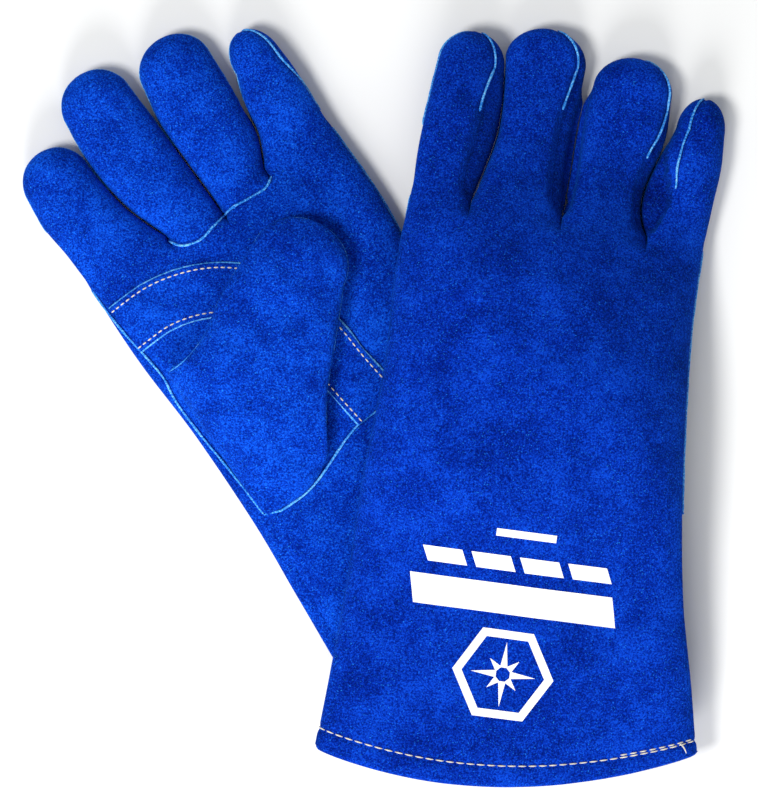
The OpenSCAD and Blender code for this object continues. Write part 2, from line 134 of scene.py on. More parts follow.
# the two side lines of each finger, y and x
FINGER_SIDES = (
    ((mm((0, -64.5), (17, -65.1), (34, -66.8), (47, -65.6)),
      mm((0, -24), (6, -26.5), (17, -30.6), (36, -34.1), (50, -35))),
     (mm((0, -24), (6, -26.5), (17, -30.6), (36, -34), (58, -34), (66, -33)),
      mm((0, 2.2), (6, 2.2), (22, 1.5), (49, 0.3), (66, -0.6))),
     (mm((0, 2.2), (6, 2.2), (22, 1.5), (45, 1.4), (60, 4)),
      mm((0, 28.1), (6, 31), (13, 34), (26, 35.4), (43, 36.7), (60, 37.4))),
     (mm((0, 28.1), (6, 31), (13, 34), (30, 37.1), (43, 41.5)),
      mm((0, 63.2), (10, 63.4), (33, 63.9), (43, 63.3)))),
    ((mm((0, -65.5), (19, -66.3), (46, -65.3), (61, -64.4)),
      mm((0, -39.2), (8, -37.8), (18, -35.6), (32, -33.3), (42, -33.2), (52, -33.6), (61, -34.8))),
     (mm((0, -39.2), (8, -37.3), (18, -35.1), (32, -32.8), (42, -32.8), (55, -34), (68, -36)),
      mm((0, 1), (7, -0.2), (17, -0.9), (31, -1), (43, -0.8), (51, 0), (68, 0.4))),
     (mm((0, 1), (5, 3.2), (12, 4), (25, 4.2), (42, 3.6), (52, 3.5), (62, 4.4)),
      mm((0, 39.5), (5, 36.6), (12, 34.8), (19, 34.8), (26, 36), (34, 38.1), (42, 40.2), (62, 39.9))),
     (mm((0, 39.5), (5, 37), (12, 35.2), (19, 35.2), (26, 36.5), (34, 38.8), (42, 41.2), (50, 43.6)),
      mm((0, 65.2), (21, 66), (37, 66.6), (50, 65.4)))))
FINGER_LEN = (mm(61.5, 80, 73.5, 56.5), mm(75.5, 82.7, 77, 65))
# roundness of each glove's finger sides, 0.5 being square and 1 an ellipse: index side, little side
SIDE_ROUND = ((0.72, 0.72), (0.58, 0.92))
OUTER_ROUND = 0.86
TIP_SIDE_ROUND = 0.92

# how far the index side seam lies in from the glove's edge, on the palm side
SEAM_INSET = mm((-240, 4.3), (-187, 4.5), (-148, 5.5), (-126, 6.2), (-98, 4), (-78, 2.2), (-62, 2.6),
                (-51, 4.6), (-41, 4.1), (-26, 2), (-11, 0.5), (0, 0.1))
# seams that show on top of the right glove's fingers: which of the finger's two, and its y and x
FINGER_SEAMS = {
    (RIGHT, 0): (1, mm((0, -41), (3, -43.2), (7, -44.4), (14, -44.7), (32, -43.3), (40, -42.6),
                       (46, -42.2), (54, -40.9), (61, -39.3))),
    (RIGHT, 1): (1, mm((0, -1.5), (7, -5.1), (16, -6.5), (34, -7.4), (43, -7.4), (53, -6.1),
                       (60, -4.9), (68, -3.6))),
    (RIGHT, 2): (1, mm((0, 36.5), (3, 34), (8, 32.2), (18, 31.8), (30, 32.6), (39, 34.6), (43, 36.2),
                       (49, 37.6), (55, 38.4), (62, 38.3))),
    (RIGHT, 3): (0, mm((0, 41), (8, 44), (15, 46.5), (23, 47.8), (33, 46.8), (38, 47.1), (44, 47.7),
                       (50, 49)))}
# row up to which each two neighbouring fingers meet
MEET = (mm(38, 38, 22), mm(56, 52, 36))
# row where a finger's piping begins, and the seams whose piping begins elsewhere
WELT_FROM = 30 * MM
WELT_START = {(RIGHT, 0): (1, 40 * MM), (RIGHT, 1): (1, 48 * MM), (RIGHT, 2): (1, 34 * MM),
              (RIGHT, 3): (0, 23 * MM), (LEFT, 3): (1, 8 * MM)}
# beyond a seam that shows, or beyond the little finger's own fold, the finger's wall is sunk by
# this share of its height
WALL_DROP = (0.4, 0.4, 0.4, 0.68)
LITTLE_FOLD = mm((0, 40.2), (5, 42.6), (11, 45.4), (18, 47.2), (24, 45.6), (30, 43.4), (36, 41.8),
                 (42, 41.5))

# the thumb's frame: middle of its fold line and its turn; side lines, distance past the fold and x
THUMB_AT = mm(-37.6, -85)
THUMB_TURN = math.radians(-60.6)
THUMB_SIDES = (
    mm((0, -39.5), (8, -35), (17, -32.5), (41, -33.3), (69, -30.5)),
    mm((0, 39.5), (13, 32), (25, 26.6), (42, 21.2), (69, 12.5)))
WING_TIP = (-36 * MM, 26.2 * MM)
THUMB_LEN = 88 * MM
# height of the thumb's crest above the palm
THUMB_CREST = (
    mm((-36, 0.9), (-26, 3.6), (-14, 7.6), (0, 11.6), (20, 15), (45, 15.8), (69, 15)),
    mm((-36, 0.9), (-26, 3), (-14, 6), (0, 8.8), (20, 11.2), (45, 11.8), (69, 11.2)))
# height of the thumb's side seams, left and right glove, and of its underside
THUMB_MID = (9.5 * MM, 7.5 * MM)
THUMB_UNDER = 2.3 * MM
THUMB_SIDE_ROUND = 0.8

# middle line of the palm strap, and the welted seam across the feet of the middle fingers
STRAP_LINE = mm((-62, -24.6), (-55, -24.3), (-46, -24.1), (-31, -27), (-18, -33), (-5, -45), (3, -60),
                (7, -77), (8.5, -93), (11.5, -114.5))
GUNN_LINE = mm((-24.2, -2.9), (-21.4, -7.2), (-13.3, -10.4), (-3.5, -8.6), (6, -6.6), (16.5, -7.4),
               (25, -7.2), (29, -4.6))

# ---------------- small helpers


def smooth(t):
    t = np.clip(t, 0, 1)
    return t * t * (3 - 2 * t)


def mix(a, b, t):
    return a + (b - a) * t


def between(x, a, b):
    """Where x lies from a to b, as -1 to 1."""
    return (x - (a + b) / 2) / ((b - a) / 2)


def curve(table, at):
    """Smooth curve through [place, value] points, level past its two ends."""
    at = np.asarray(at, float)
    places, values = table[:, 0], table[:, 1:]
    slopes = np.gradient(values, places, axis=0)
    i = np.clip(np.searchsorted(places, at) - 1, 0, len(places) - 2)
    h = (places[i + 1] - places[i])[..., None]
    t = np.clip((at[..., None] - places[i][..., None]) / h, 0, 1)
    out = ((2 * t**3 - 3 * t**2 + 1) * values[i] + (t**3 - 2 * t**2 + t) * h * slopes[i]
           + (3 * t**2 - 2 * t**3) * values[i + 1] + (t**3 - t**2) * h * slopes[i + 1])
    return out[..., 0] if values.shape[1] == 1 else out


def spline(points, n):
    """n points evenly spaced along a smooth line through the given ones."""
    reach = np.concatenate([[0], np.cumsum(np.linalg.norm(np.diff(points, axis=0), axis=1))])
    table = np.column_stack([reach, points])
    fine = curve(table, np.linspace(0, reach[-1], 40 * len(points)))
    walked = np.concatenate([[0], np.cumsum(np.linalg.norm(np.diff(fine, axis=0), axis=1))])
    at = np.linspace(0, walked[-1], n)
    return np.column_stack([np.interp(at, walked, fine[:, i]) for i in range(fine.shape[1])])


def distance_to(line, x, y):
    """Distance of points to a line of points, in the plan."""
    best = np.full(np.shape(x), 1.0)
    for (ax, ay), (bx, by) in zip(line[:-1], line[1:]):
        dx, dy = bx - ax, by - ay
        t = np.clip(((x - ax) * dx + (y - ay) * dy) / (dx * dx + dy * dy), 0, 1)
        best = np.minimum(best, np.hypot(x - ax - t * dx, y - ay - t * dy))
    return best


def unit(v):
    return v / np.maximum(np.linalg.norm(v, axis=-1, keepdims=True), 1e-12)


def to_world(g, points):
    """Glove frame to the shared frame."""
    (cx, cy), turn = PLACE[g]
    x, y = points[..., 0], points[..., 1]
    c, s = math.cos(turn), math.sin(turn)
    return np.stack([cx + x * c - y * s, cy + x * s + y * c, points[..., 2]], -1)


# ---------------- heights


def dents(x, y, g):
    """Soft unevenness of used leather: a few crossing waves of different lengths."""
    total = 0
    for i, (length, depth) in enumerate(((61, 0.42), (43, 0.34), (29, 0.24), (19, 0.15), (13, 0.09))):
        angle = 2.4 * i + 0.9 * g
        along = (x * math.cos(angle) + y * math.sin(angle)) * 2 * math.pi / (length * MM)
        bend = 1.4 * np.sin((x * math.sin(angle) - y * math.cos(angle)) * 2 * math.pi / (1.7 * length * MM))
        total = total + depth * MM * np.sin(along + bend + 1.9 * i)
    return total


def pile(x, y):
    """Height of the right glove's underside where it lies on the left glove."""
    past_side = (x + 66 * MM) * 0.636 + (y + 21 * MM) * 0.771 - 6 * MM
    past_hem = (x + 33 * MM) * 0.672 - (y + 239 * MM) * 0.74
    return PILE_H * (1 - smooth(past_side / (100 * MM))) * (1 - 0.75 * smooth(past_hem / (110 * MM)))


def thumb_rise(x, y):
    """The right thumb lies under the palm and lifts it."""
    return 12.6 * MM * (1 - smooth((np.hypot(x + 5 * MM, y + 72 * MM) / (50 * MM) - 0.8) / 1.4))


def bed(g, x, y):
    if g == LEFT:
        return 1.2 * MM * smooth((-205 * MM - y) / (20 * MM))
    return pile(x, y) + thumb_rise(x, y)


def wrist_bow(x, y):
    """The wrist seam is lower at the index side, and the rows near it follow."""
    bow = 12.8 * smooth((x + 40 * MM) / (45 * MM)) + 2.5 * smooth((-48 * MM - x) / (8 * MM)) - 8.3
    return bow * MM * (1 - smooth(abs(y - WRIST_Y) / (45 * MM)))


def knuckle_shift(g, x, y):
    """The left glove's middle crotch is cut deeper than the others."""
    if g == RIGHT:
        return 1.2 * MM * np.exp(-(x / (10 * MM)) ** 2 - (y / (16 * MM)) ** 2)
    return -5.7 * MM * np.exp(-((x - 2.2 * MM) / (9 * MM)) ** 2 - (y / (18 * MM)) ** 2)


def row_shift(g, x, y):
    """How far a point lies above its own row: the hem's sag, the wrist seam's bow, the crotches."""
    lo, hi = curve(INDEX_EDGE[g], y), curve(LITTLE_EDGE[g], y)
    across = np.clip(between(x, lo, hi), -1, 1)
    share_of_cuff = np.maximum(0, (WRIST_Y - y) / (WRIST_Y - HEM[g][0])) ** 1.5
    return (share_of_cuff * (HEM[g][1] * across - HEM[g][2] * (1 - across**2))
            + wrist_bow(x, y) + knuckle_shift(g, x, y))


# ---------------- one section formula


def turn_of(u, e):
    """The turn k, from 0 at the side to 1 at the top, of a point u half-widths from the middle."""
    share = np.arccos(np.clip(abs(u), 0, 1) ** (1 / e)) / (math.pi / 2)
    ratio = (share / np.maximum(1 - share, 1e-9)) ** e
    return ratio / (1 + ratio)


def strip_sides(g, f, y):
    """x of the two sides of strip f, and the same of the whole hand."""
    lo, hi = curve(INDEX_EDGE[g], y), curve(LITTLE_EDGE[g], y)
    first, last = INDEX_EDGE[g][-1, 1], LITTLE_EDGE[g][-1, 1]
    a, b = FINGER_SIDES[g][f]
    share_a, share_b = (a[0, 1] - first) / (last - first), (b[0, 1] - first) / (last - first)
    gap = FINGER_GAP / 2 * smooth(y / (4 * MM))
    xa = np.where(y > 0, curve(a, y) + (gap if f > 0 else 0), mix(lo, hi, share_a))
    xb = np.where(y > 0, curve(b, y) - (gap if f < 3 else 0), mix(lo, hi, share_b))
    return xa, xb, lo, hi


def flare(g, f, y, on_little):
    """The lower half of a finger is wider, so two fingers meet below the gap between them."""
    near = f if on_little else f - 1
    if near < 0 or near > 2:
        return 0 * y
    gap = strip_sides(g, near + 1, y)[0] - strip_sides(g, near, y)[1]
    reach = np.clip(gap / 2 - FLARE_CLEAR, 0, FLARE_MAX)
    return reach * (1 - smooth((y - MEET[g][near]) / (10 * MM))) * smooth(y / (2 * MM))


def wall_share(g, f, u, y):
    """How far a point lies beyond a finger's visible seam, from 0 at the seam to 1 at the edge."""
    if (g, f) not in FINGER_SEAMS:
        return 0 * u
    which, line = FINGER_SEAMS[g, f]
    line = LITTLE_FOLD if f == 3 else line
    xa, xb, _, _ = strip_sides(g, f, y)
    at = np.clip(between(curve(line, y), xa, xb), -0.97, 0.97)
    out = (u - at) / (1 - at) if which else (at - u) / (1 + at)
    return np.clip(out, 0, 1)


def rounder(e, past):
    """Roundness e of a finger's side, growing toward the tip; past is how far a row lies past the
    finger's straight part."""
    return mix(e, TIP_SIDE_ROUND, smooth((past + 22 * MM) / (30 * MM)))


def quarters(k):
    """Whether each turn is on the little side and on the top, and how far it is from the side."""
    quarter = np.floor(k % 4)
    within = k % 4 - quarter
    to_side = np.where(quarter % 2 == 0, within, 1 - within)
    return (quarter == 1) | (quarter == 2), quarter < 2, to_side


def arc_of(to_side, e):
    """Angle up a section of roundness e, spread so that its points lie evenly."""
    share = to_side ** (1 / e) / (to_side ** (1 / e) + (1 - to_side) ** (1 / e))
    return share * math.pi / 2


def place(g, f, y, k, off=0.0):
    """Point of glove g's skin on strip f, at row y and turn k, off metres inside the surface."""
    y, k = np.broadcast_arrays(np.asarray(y, float), np.asarray(k, float))
    straight = FINGER_LEN[g][f] - TIP_ROUND
    past = np.clip((y - straight) / TIP_ROUND, 0, 1)
    cap = np.sqrt(np.maximum(1 - past**2, 0))
    row = np.minimum(y, straight)
    xa, xb, lo, hi = strip_sides(g, f, row)
    on_little, on_top, to_side = quarters(k)
    side_round = np.where(on_little, SIDE_ROUND[g][1], SIDE_ROUND[g][0])
    outer = (on_little & (f == 3)) | (~on_little & (f == 0))
    side_round = np.where(outer, OUTER_ROUND, side_round)
    e = rounder(side_round, y - straight)
    angle = arc_of(to_side, e)
    u = np.cos(angle) ** e * np.where(on_little, 1, -1)
    dome = np.sin(angle) ** e
    wide = np.where(on_little, flare(g, f, row, True), flare(g, f, row, False))
    rise = np.sin(angle)
    wide = np.where(on_top, 0, wide * smooth(rise / 0.25) * smooth(2 - 2 * rise))
    # between two fingers the hand's skin dips to the crotch
    valley = np.where(outer | (y > 0), 1, smooth(1 + y / CROTCH_LEN))
    half_w = (xb - xa) / 2 - off * valley
    x = (xa + xb) / 2 + half_w * cap * u + wide * cap * np.where(on_little, 1, -1)
    across = np.clip(between(x, lo, hi), -1, 1)
    wall = wall_share(g, f, u, row)
    sunk = WALL_DROP[f] * smooth(wall / 0.16) * smooth(y / (4 * MM))
    sunk = np.where(on_top, sunk * (1 - smooth((y - straight + 12 * MM) / (14 * MM))), 0)
    dome = (1 - valley + valley * dome) * (1 - sunk)
    thick = curve(THICKNESS, row)
    in_hand = 1 - smooth(y / (26 * MM))
    crown = np.where(on_top, 1 - 0.34 * in_hand * abs(across) ** 2.3, 1 - 0.12 * in_hand * abs(across) ** 4)
    low = (1 - TOP_SHARE) * thick
    half = np.where(on_top, TOP_SHARE * thick + dents(x, y, g) * smooth(1.5 * dome), low) * crown - off
    out_y = np.where(y > straight, straight + (TIP_ROUND - off) * past, y) + row_shift(g, x, y)
    z = bed(g, x, out_y) + low + np.where(on_top, 1, -1) * half * dome * cap**0.8
    return np.stack([x, out_y, z], -1)


def skin_height(g, x, y, on_top):
    """Height of the hand's skin over points of the plan, on its top or its underside."""
    x, y = np.broadcast_arrays(np.asarray(x, float), np.asarray(y, float))
    row = y
    for _ in range(12):
        row = y - row_shift(g, x, row)
    row = np.minimum(row, 0)
    z = np.zeros(np.shape(x))
    for f in range(4):
        xa, xb, _, _ = strip_sides(g, f, row)
        u = np.clip(between(x, xa, xb), -0.9995, 0.9995)
        side = (u > 0).astype(int)
        e = np.where((f == 3) & (side == 1) | (f == 0) & (side == 0), OUTER_ROUND,
                     np.where(side == 1, SIDE_ROUND[g][1], SIDE_ROUND[g][0]))
        t = turn_of(u, e)
        k = np.where(side == 1, 2 - t, t) if on_top else np.where(side == 1, 2 + t, 4 - t)
        here = (x >= (xa if f else -1)) & (x < (xb if f < 3 else 1))
        z = np.where(here, place(g, f, row, k)[..., 2], z)
    return z


def on_palm(g, x, y, q):
    """Point q above the palm's skin, away from the hand."""
    return np.stack([x, y, skin_height(g, x, y, g == LEFT) + (q if g == LEFT else -q)], -1)


def thumb_place(g, n, k, off=0.0):
    """Point of the thumb's skin: n past the fold line, k as on a finger with 1 away from the palm."""
    n, k = np.broadcast_arrays(np.asarray(n, float), np.asarray(k, float))
    straight = THUMB_LEN - THUMB_ROUND
    past = np.clip((n - straight) / THUMB_ROUND, 0, 1)
    cap = np.sqrt(np.maximum(1 - past**2, 0))
    row = np.minimum(n, straight)
    wing = np.clip(row / WING_TIP[0], 0, 1)
    a = np.where(row < 0, mix(THUMB_SIDES[0][0, 1], WING_TIP[1] - 1 * MM, wing), curve(THUMB_SIDES[0], row))
    b = np.where(row < 0, mix(THUMB_SIDES[1][0, 1], WING_TIP[1] + 1 * MM, wing), curve(THUMB_SIDES[1], row))
    bulge = np.sin(math.pi * wing)
    a, b = a - 2 * MM * bulge, b + 4.8 * MM * bulge
    on_far_side, outward, to_side = quarters(k)
    angle = arc_of(to_side, THUMB_SIDE_ROUND)
    u = np.cos(angle) ** THUMB_SIDE_ROUND * np.where(on_far_side, 1, -1)
    dome = np.sin(angle) ** THUMB_SIDE_ROUND
    across = (a + b) / 2 + ((b - a) / 2 - off * smooth(1 + n / (20 * MM))) * cap * u
    along = np.where(n > straight, straight + (THUMB_ROUND - off) * past, n)
    side_h = mix(0.5 * MM, THUMB_MID[g], smooth((row + 12 * MM) / (24 * MM)))
    crest = curve(THUMB_CREST[g], row)
    under = mix(0.4 * MM, THUMB_UNDER, smooth((row + 12 * MM) / (24 * MM)))
    h = np.where(outward, np.maximum(crest - side_h, 0.3 * MM) - off, -(side_h - under - off))
    c, s = math.cos(THUMB_TURN), math.sin(THUMB_TURN)
    x = THUMB_AT[0] + across * c - along * s
    y = THUMB_AT[1] + across * s + along * c
    q = side_h + h * dome * cap**0.8 + np.where(outward, dents(x * 1.3, y * 1.3, g + 2) * dome, 0)
    return on_palm(g, x, y, q)


# ---------------- meshes


def add_object(name, points, faces, materials, marks=None):
    mesh = bpy.data.meshes.new(name)
    mesh.from_pydata(points.tolist(), [], [list(map(int, face)) for face in faces])
    for m in materials:
        mesh.materials.append(m)
    if marks is not None:
        mesh.polygons.foreach_set("material_index", marks)
    mesh.shade_smooth()
    mesh.set_sharp_from_angle(angle=SHARP_ANGLE)
    mesh.update()
    obj = bpy.data.objects.new(name, mesh)
    bpy.context.scene.collection.objects.link(obj)
    return obj


def volume(points, faces):
    tri = np.array([(f[0], f[i], f[i + 1]) for f in faces for i in range(1, len(f) - 1)])
    a, b, c = points[tri[:, 0]], points[tri[:, 1]], points[tri[:, 2]]
    return np.einsum("ij,ij->i", a, np.cross(b, c)).sum() / 6


def shell(name, outer, inner, materials, closed=False, trim=0, wall=None):
    """A closed sheet of leather or cloth between two grids of points. With closed, each row is a ring. The
    cut edges take the last material, and so do trim columns along each side. Where wall is given, its marks
    choose each skin face's material instead, which puts the darker painted-shade suede on the marked finger
    walls, and the cut edges then take the first material."""
    rows, cols = outer.shape[:2]
    points = np.concatenate([outer.reshape(-1, 3), inner.reshape(-1, 3)])
    shift = rows * cols
    faces = []
    for i in range(rows - 1):
        for j in range(cols if closed else cols - 1):
            a, b = i * cols + j, i * cols + (j + 1) % cols
            faces.append((a, b, b + cols, a + cols))
            faces.append((shift + a, shift + a + cols, shift + b + cols, shift + b))
    skin = len(faces)
    for j in range(cols if closed else cols - 1):
        a, b = j, (j + 1) % cols
        faces.append((a, shift + a, shift + b, b))
        a, b = shift - cols + j, shift - cols + (j + 1) % cols
        faces.append((a, b, shift + b, shift + a))
    if not closed:
        for i in range(rows - 1):
            a, b = i * cols, (i + 1) * cols
            faces.append((a, b, shift + b, shift + a))
            a, b = a + cols - 1, b + cols - 1
            faces.append((a, shift + a, shift + b, b))
    if volume(points, faces) < 0:
        faces = [f[::-1] for f in faces]
    marks = [0] * skin + [len(materials) - 1] * (len(faces) - skin)
    for i in range(rows - 1 if trim else 0):
        for j in (*range(trim), *range(cols - 1 - trim, cols - 1)):
            marks[2 * (i * (cols - 1) + j)] = len(materials) - 1
    if wall is not None:
        marks = np.array(marks)
        marks[:skin] = np.repeat(wall[:-1, :-1].ravel(), 2)
        marks[skin:] = 0
        marks = marks.tolist()
    return add_object(name, points, faces, materials, marks)


def sheet(name, g, surface, offs, materials, closed=False):
    """A shell of glove g between surface(off) at two depths off."""
    outer, inner = (to_world(g, surface(off)) for off in offs)
    return shell(name, outer, inner, materials, closed)


def seam_dip(outer, inner, edges, fade=1.0):
    """The skin rolls down into the seams along its first and last column and row."""
    across = np.linalg.norm(np.diff(outer, axis=1), axis=2)
    along = np.linalg.norm(np.diff(outer, axis=0), axis=2)
    zero_col, zero_row = np.zeros((len(outer), 1)), np.zeros((1, outer.shape[1]))
    from_first = np.hstack([zero_col, np.cumsum(across, 1)])
    from_start = np.vstack([zero_row, np.cumsum(along, 0)])
    reach = {"first": from_first, "last": from_first[:, -1:] - from_first,
             "start": from_start, "end": from_start[-1:] - from_start}
    dip = np.zeros(outer.shape[:2])
    for edge in edges:
        dip = np.maximum(dip, SEAM_DIP * np.exp(-(reach[edge] / SEAM_REACH) ** 2))
    return outer + unit(inner - outer) * (dip * fade)[..., None]


def tube(name, paths, radii, materials, sides=8):
    """Closed tubes along paths of points; radii gives each path's radius at each point."""
    points, faces = [], []
    for path, radius in zip(paths, radii):
        n = len(path)
        along = unit(np.gradient(path, axis=0))
        up = np.tile([0.0, 0.0, 1.0], (n, 1))
        side = unit(np.cross(along, up))
        up = np.cross(side, along)
        start = sum(len(p) for p in points)
        angles = np.linspace(0, 2 * math.pi, sides, endpoint=False)
        ring = (side[:, None] * np.cos(angles)[None, :, None]
                + up[:, None] * np.sin(angles)[None, :, None])
        points.append((path[:, None] + ring * np.asarray(radius)[:, None, None]).reshape(-1, 3))
        for i in range(n - 1):
            for j in range(sides):
                a, b = start + i * sides + j, start + i * sides + (j + 1) % sides
                faces.append((a, a + sides, b + sides, b))
        faces.append(tuple(start + j for j in range(sides)))
        faces.append(tuple(start + (n - 1) * sides + j for j in reversed(range(sides))))
    points = np.concatenate(points)
    if volume(points, faces) < 0:
        faces = [f[::-1] for f in faces]
    return add_object(name, points, faces, materials)


def piping(g, surface, stand, wander=0):
    """The middle line and radius of a welt in a seam, tapered at its ends. surface(off) gives the
    seam's points at a depth, and stand is how far the welt's top stands out, in millimetres."""
    skin, inside = surface(0.0), surface(LEATHER_T)
    n = len(skin)
    line = skin - unit(inside - skin) * (stand * MM - WELT_R)
    t = np.linspace(0, 1, n)
    reach = np.linalg.norm(np.diff(skin, axis=0), axis=1).sum()
    ends = np.minimum(t, 1 - t) * reach / (2.5 * MM)
    wobble = 1 + 0.12 * np.sin(t * reach / (3.1 * MM) + wander) + 0.07 * np.sin(t * reach / (1.3 * MM))
    return to_world(g, line), WELT_R * wobble * (0.35 + 0.65 * np.sqrt(np.clip(ends, 0, 1)))


# ---------------- materials


def new_material(name):
    material = bpy.data.materials.new(name)
    material.use_nodes = True
    tree = material.node_tree
    shader = next(n for n in tree.nodes if n.type == "BSDF_PRINCIPLED")
    return material, tree, shader


def set_inputs(node, **values):
    """Sets a node's inputs, each named with _ for its spaces."""
    for name, value in values.items():
        node.inputs[name.replace("_", " ")].default_value = value


def noise_node(tree, vector, scale, detail, rough):
    node = tree.nodes.new("ShaderNodeTexNoise")
    set_inputs(node, Scale=scale, Detail=detail, Roughness=rough)
    tree.links.new(vector, node.inputs["Vector"])
    return node.outputs["Fac"]


def ramp(tree, fac, stops):
    node = tree.nodes.new("ShaderNodeValToRGB")
    elements = node.color_ramp.elements
    while len(elements) < len(stops):
        elements.new(0.5)
    for element, (at, color) in zip(elements, stops):
        element.position = at
        element.color = (*color, 1)
    tree.links.new(fac, node.inputs["Fac"])
    return node.outputs["Color"]


def mix_colors(tree, fac, a, b):
    node = tree.nodes.new("ShaderNodeMix")
    node.data_type = "RGBA"
    sockets = [s for s in node.inputs if s.type == "RGBA"]
    tree.links.new(fac, node.inputs["Factor"])
    tree.links.new(a, sockets[0])
    tree.links.new(b, sockets[1])
    return next(s for s in node.outputs if s.type == "RGBA")


def math_node(tree, kind, a, b):
    node = tree.nodes.new("ShaderNodeMath")
    node.operation = kind
    for socket, value in zip(node.inputs, (a, b)):
        if isinstance(value, (int, float)):
            socket.default_value = value
        else:
            tree.links.new(value, socket)
    return node.outputs[0]


def weighted(tree, *parts):
    """Sum of (output, weight) pairs."""
    total = None
    for output, weight in parts:
        part = math_node(tree, "MULTIPLY", output, weight)
        total = part if total is None else math_node(tree, "ADD", total, part)
    return total


def bump(tree, shader, height, strength, distance):
    node = tree.nodes.new("ShaderNodeBump")
    set_inputs(node, Strength=strength, Distance=distance)
    tree.links.new(height, node.inputs["Height"])
    tree.links.new(node.outputs["Normal"], shader.inputs["Normal"])


def suede(name, dark, middle, light, speck):
    """Split leather: cloudy nap, fine grain and a scatter of bright fibres."""
    material, tree, shader = new_material(name)
    vector = tree.nodes.new("ShaderNodeTexCoord").outputs["Object"]
    grain = noise_node(tree, vector, 1250, 2.0, 0.7)
    cloud = noise_node(tree, vector, 45, 4, 0.6)
    brushed = noise_node(tree, vector, 190, 3, 0.6)
    mixed = weighted(tree, (grain, 0.62), (cloud, 0.24), (brushed, 0.14))
    body = ramp(tree, mixed, ((0.4, dark), (0.5, middle), (0.6, light)))
    fibres = noise_node(tree, vector, 1500, 1.5, 0.5)
    fibre_mask = ramp(tree, fibres, ((0.66, (0, 0, 0)), (0.74, (1, 1, 1))))
    tint = tree.nodes.new("ShaderNodeRGB")
    tint.outputs[0].default_value = (*speck, 1)
    color = mix_colors(tree, math_node(tree, "MULTIPLY", fibre_mask, 0.6), body, tint.outputs[0])
    tree.links.new(color, shader.inputs["Base Color"])
    set_inputs(shader, Roughness=0.95, Specular_IOR_Level=0.02, Sheen_Weight=0.12,
               Sheen_Roughness=0.6, Sheen_Tint=(0.02, 0.35, 1, 1))
    bump(tree, shader, mixed, 0.55, 0.5 * MM)
    return material


WAVE_SCALE = 0.314  # scale of a wave node whose bands are a metre apart


def cloth(name, dark, light, pitch, fuzz):
    """Plain weave or brushed fleece: two crossing waves under a soft noise."""
    material, tree, shader = new_material(name)
    vector = tree.nodes.new("ShaderNodeTexCoord").outputs["Object"]
    waves = []
    for axis in ("X", "Y"):
        wave = tree.nodes.new("ShaderNodeTexWave")
        wave.bands_direction = axis
        set_inputs(wave, Scale=WAVE_SCALE / pitch, Distortion=fuzz)
        tree.links.new(vector, wave.inputs["Vector"])
        waves.append(wave.outputs["Fac"])
    weave = math_node(tree, "MULTIPLY", waves[0], waves[1])
    soft = noise_node(tree, vector, 420, 4, 0.65)
    mixed = weighted(tree, (weave, 0.35), (soft, 0.65))
    tree.links.new(ramp(tree, mixed, ((0.25, dark), (0.65, light))), shader.inputs["Base Color"])
    set_inputs(shader, Roughness=0.9, Sheen_Weight=0.2)
    bump(tree, shader, mixed, 0.6, 0.4 * MM)
    return material


# the second copy, for the right glove, is the same leather made darker: painted shade
BLUE = (suede("left_blue_suede", (0.0003, 0.007, 0.16), (0.001, 0.026, 0.36), (0.004, 0.085, 0.68),
              (0.025, 0.32, 0.95)),
        suede("right_blue_suede_painted_shade", (0.0002, 0.005, 0.125), (0.0008, 0.017, 0.29), (0.003, 0.055, 0.55),
              (0.018, 0.26, 0.85)))
# darker suede for the sunk finger walls beyond a visible seam: painted shade on the same leather
PAINTED_SHADE_SUEDE = suede("finger_wall_painted_shade", (0.0002, 0.003, 0.075), (0.0006, 0.01, 0.19), (0.002, 0.035, 0.4),
               (0.02, 0.2, 0.7))
WELT = suede("welt_suede", (0.006, 0.1, 0.5), (0.03, 0.25, 0.75), (0.2, 0.58, 0.95),
             (0.6, 0.9, 1.0))
RAW_EDGE = suede("raw_edge", (0.015, 0.13, 0.5), (0.05, 0.28, 0.72), (0.2, 0.55, 0.9), (0.5, 0.85, 1.0))
THREAD = cloth("cream_thread", (0.5, 0.46, 0.36), (0.86, 0.83, 0.72), 0.35 * MM, 0.5)
FLEECE = cloth("cream_fleece", (0.5, 0.46, 0.38), (0.82, 0.78, 0.68), 1.1 * MM, 6.0)
CANVAS = cloth("lining_canvas", (0.42, 0.38, 0.3), (0.78, 0.73, 0.62), 0.9 * MM, 0.4)
PRINT = cloth("white_print", (0.82, 0.83, 0.85), (0.95, 0.96, 0.97), 0.8 * MM, 3.0)

# ---------------- panels of the hand

STRIP_COLS = 34


def index_turn(g, y):
    """Turn of the index side seam on strip 0, on the palm side of the glove."""
    xa, xb, _, _ = strip_sides(g, 0, y)
    u = 1 - curve(SEAM_INSET, y) / ((xb - xa) / 2)
    k = turn_of(u, OUTER_ROUND)
    return k if g == LEFT else -k


def hand_columns(g, y, on_top):
    """Strip and turn of each column of a hand panel, from the little side seam to the index side
    seam on the underside, or back over the top, for each row."""
    seam = index_turn(g, y)[:, None]
    t = np.linspace(0, 1, STRIP_COLS)[None, :]
    strips, turns = [], []
    for f in (range(4) if on_top else range(3, -1, -1)):
        first = seam if on_top and f == 0 else (0.0 if on_top else 2.0)
        last = (4.0 + seam) if not on_top and f == 0 else (2.0 if on_top else 4.0)
        # just short of the last turn, which would count as the other face of the hand
        part = mix(first, last - TURN_STEP, t) + np.zeros((len(y), 1))
        begin = 0 if not strips else 1
        strips.append(np.full(STRIP_COLS - begin, f))
        turns.append(part[:, begin:])
    return np.concatenate(strips), np.concatenate(turns, axis=1)


def hand_grid(g, y, on_top, off=0.0):
    strips, turns = hand_columns(g, y, on_top)
    grid = np.zeros((*turns.shape, 3))
    for f in range(4):
        here = strips == f
        grid[:, here] = place(g, f, y[:, None], turns[:, here], off)
    return grid


